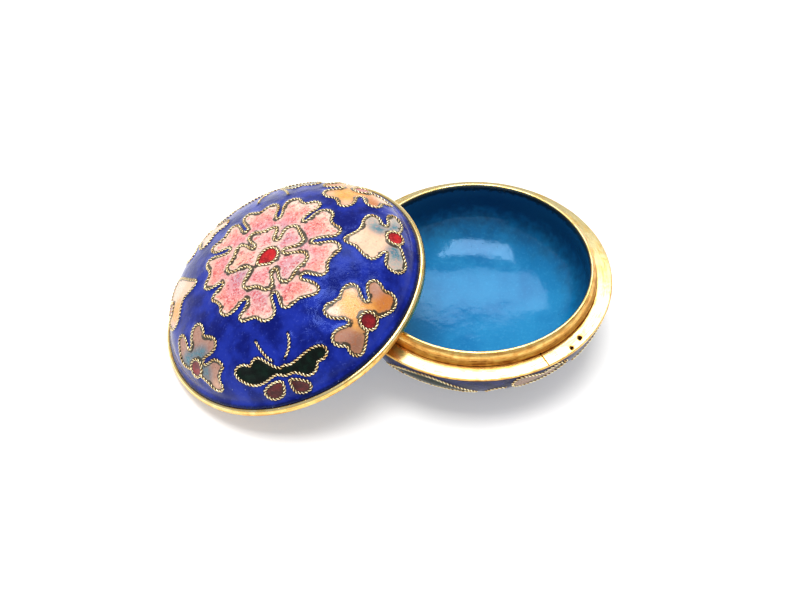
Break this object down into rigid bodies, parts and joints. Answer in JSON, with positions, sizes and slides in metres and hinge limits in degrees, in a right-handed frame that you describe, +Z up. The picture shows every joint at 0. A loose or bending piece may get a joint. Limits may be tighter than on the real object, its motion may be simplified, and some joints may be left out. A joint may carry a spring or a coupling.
{
  "type": "pill box",
  "caption": "Round enamelled pill box, open: a bowl with an upright lip and a loose domed lid that leans across it.",
  "frame": {"origin": "centre of the flat foot under the bowl, on the table", "axes": "+Z up along the bowl's axis; the lid leans beside the bowl on the -X side"},
  "size_m": [0.0747, 0.048, 0.0227],
  "materials": {
    "copper": "satin, hidden under the enamel",
    "gilt_brass": "polished gilt with fine turning and brushing marks",
    "gilt_wire": "twisted, polished gilt",
    "turquoise_enamel": "glossy fired enamel",
    "cobalt_enamel": "glossy fired enamel",
    "red_enamel": "glossy fired enamel",
    "pink_enamel": "speckled, glossy fired enamel",
    "green_enamel": "glossy fired enamel",
    "taupe_enamel": "speckled, glossy fired enamel",
    "dark_green_enamel": "glossy fired enamel",
    "dark_red_enamel": "glossy fired enamel",
    "peach_enamel": "speckled, glossy fired enamel",
    "orange_enamel": "speckled, glossy fired enamel"
  },
  "bodies": {
    "bowl": {"bowl_blossom_enamel": "taupe_enamel", "bowl_blossom_wires": "gilt_wire", "bowl_foot_enamel": "cobalt_enamel", "bowl_ground_enamel": "cobalt_enamel", "bowl_leaf_enamel": "green_enamel", "bowl_leaf_wires": "gilt_wire", "bowl_lining_enamel": "turquoise_enamel", "bowl_rim_ring": "gilt_brass", "bowl_shell": "copper", "bowl_tendril_wires": "gilt_wire"},
    "lid": {"butterfly_north_feelers": "gilt_wire", "butterfly_north_tail_wires": "gilt_wire", "butterfly_north_tails": "dark_red_enamel", "butterfly_north_wing_wire": "gilt_wire", "butterfly_north_wings": "dark_green_enamel", "butterfly_south_feelers": "gilt_wire", "butterfly_south_tail_wires": "gilt_wire", "butterfly_south_tails": "dark_red_enamel", "butterfly_south_wing_wire": "gilt_wire", "butterfly_south_wings": "dark_green_enamel", "flower_east_heart": "red_enamel", "flower_east_petals": "peach_enamel", "flower_east_wire": "gilt_wire", "flower_northeast_heart": "red_enamel", "flower_northeast_petals": "orange_enamel", "flower_northeast_wire": "gilt_wire", "flower_northwest_heart": "red_enamel", "flower_northwest_petals": "orange_enamel", "flower_northwest_wire": "gilt_wire", "flower_southeast_heart": "red_enamel", "flower_southeast_petals": "orange_enamel", "flower_southeast_wire": "gilt_wire", "flower_southwest_heart": "red_enamel", "flower_southwest_petals": "taupe_enamel", "flower_southwest_wire": "gilt_wire", "flower_west_heart": "red_enamel", "flower_west_petals": "peach_enamel", "flower_west_wire": "gilt_wire", "lid_ground_enamel": "cobalt_enamel", "lid_lining_enamel": "turquoise_enamel", "lid_rim_ring": "gilt_brass", "lid_shell": "copper", "peony_heart": "red_enamel", "peony_heart_wire": "gilt_wire", "peony_inner_petals": "pink_enamel", "peony_inner_wire": "gilt_wire", "peony_outer_petals": "pink_enamel", "peony_outer_wire": "gilt_wire"}
  },
  "joints": [
    {"name": "lid_lift", "type": "slide", "parent": "bowl", "child": "lid", "axis": [0, 0, 1], "range_m": [0, 0.03]}
  ]
}
